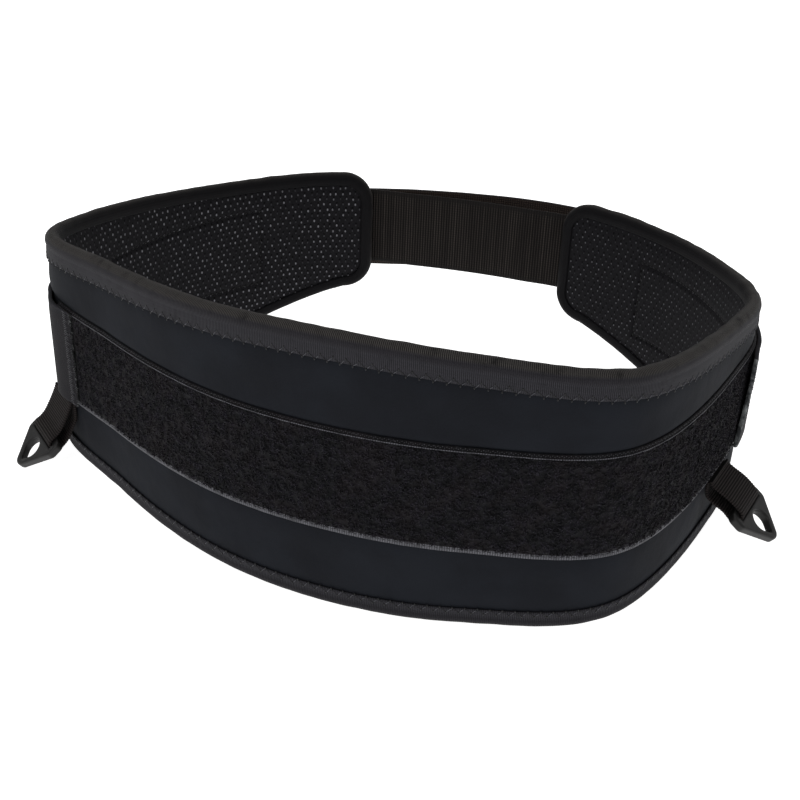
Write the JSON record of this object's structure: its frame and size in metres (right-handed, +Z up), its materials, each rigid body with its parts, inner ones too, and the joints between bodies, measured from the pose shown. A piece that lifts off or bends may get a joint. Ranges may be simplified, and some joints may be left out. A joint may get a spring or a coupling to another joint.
{
  "type": "wading belt",
  "caption": "Closed waist belt with a tall padded back support, bound edges, a hook-and-loop band and strap round the outside, an elastic rear gap and two hanging ring tabs.",
  "frame": {"origin": "middle of the belt's footprint, on the surface that it stands on", "axes": "+X to the belt's longer side seen from above, to the right of the tall support; +Y from the tall support towards the strap across the gap; +Z up"},
  "size_m": [0.3858, 0.2994, 0.1398],
  "materials": {
    "neoprene": "matte knitted jersey laminated on foam rubber",
    "spacer_mesh": "matte knitted spacer mesh with light dots",
    "binding_tape": "matte ribbed woven tape",
    "loop_pile": "matte fuzzy loop pile",
    "elastic_webbing": "matte ribbed elastic weave",
    "tab_webbing": "semi-matte ribbed webbing",
    "ring_plastic": "satin moulded plastic"
  },
  "bodies": {
    "root": {"neoprene_support": "neoprene", "mesh_lining": "spacer_mesh", "edge_binding": "binding_tape", "loop_band": "loop_pile", "closure_strap": "elastic_webbing", "back_elastic": "elastic_webbing", "left_tab_webbing": "tab_webbing", "left_ring": "ring_plastic", "right_tab_webbing": "tab_webbing", "right_ring": "ring_plastic"}
  },
  "joints": []
}
